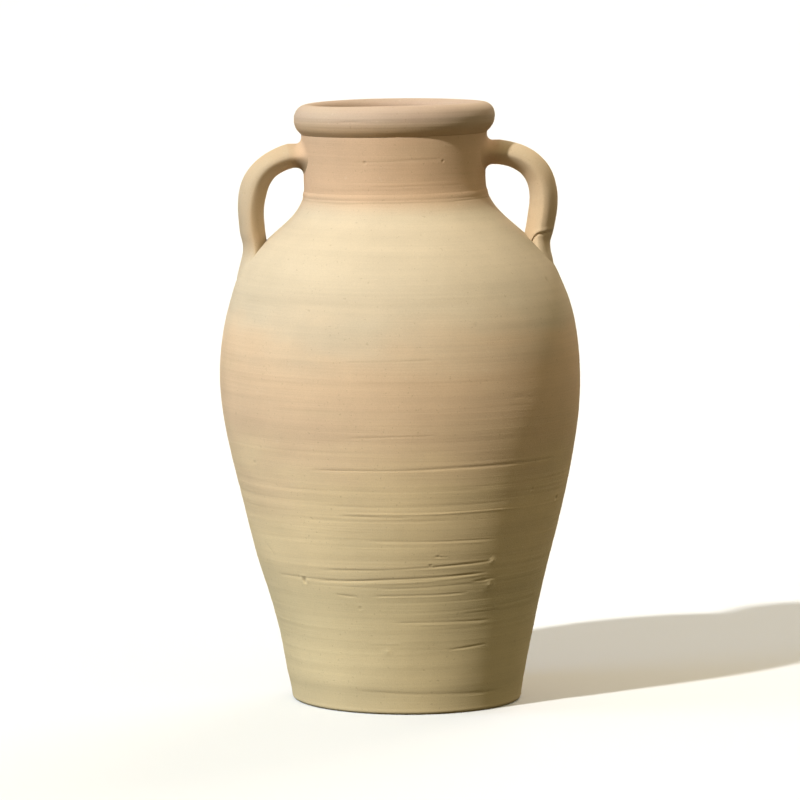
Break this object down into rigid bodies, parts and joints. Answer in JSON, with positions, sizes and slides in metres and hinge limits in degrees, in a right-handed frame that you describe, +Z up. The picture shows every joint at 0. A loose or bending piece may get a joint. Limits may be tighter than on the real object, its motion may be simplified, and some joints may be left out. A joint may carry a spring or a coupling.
{
  "type": "amphora",
  "caption": "Tall unglazed clay jar with a full belly, short neck, rolled rim and paired strap handles, standing on a flat foot.",
  "frame": {"origin": "centre of the flat foot, on the surface that the jar stands on", "axes": "+Z up the jar's turning axis; the handles lie along X, the left one towards -X"},
  "size_m": [0.3619, 0.362, 0.6],
  "materials": {
    "lower_clay": "unglazed, matt, olive-buff, with throwing lines",
    "upper_clay": "unglazed, matt, cream with a pink blush",
    "neck_clay": "unglazed, matt, pinkish tan",
    "rim_clay": "unglazed, matt, pinkish tan, wiped smooth",
    "handle_clay": "unglazed, matt, cream to tan, pulled by hand"
  },
  "bodies": {
    "root": {"base_floor": "lower_clay", "lower_wall": "lower_clay", "middle_wall": "lower_clay", "belly_wall": "upper_clay", "shoulder_wall": "upper_clay", "neck": "neck_clay", "neck_band": "neck_clay", "rim": "rim_clay", "left_handle": "handle_clay", "right_handle": "handle_clay", "left_handle_root": "handle_clay", "right_handle_root": "handle_clay", "left_handle_pad": "handle_clay", "right_handle_pad": "handle_clay"}
  },
  "joints": []
}
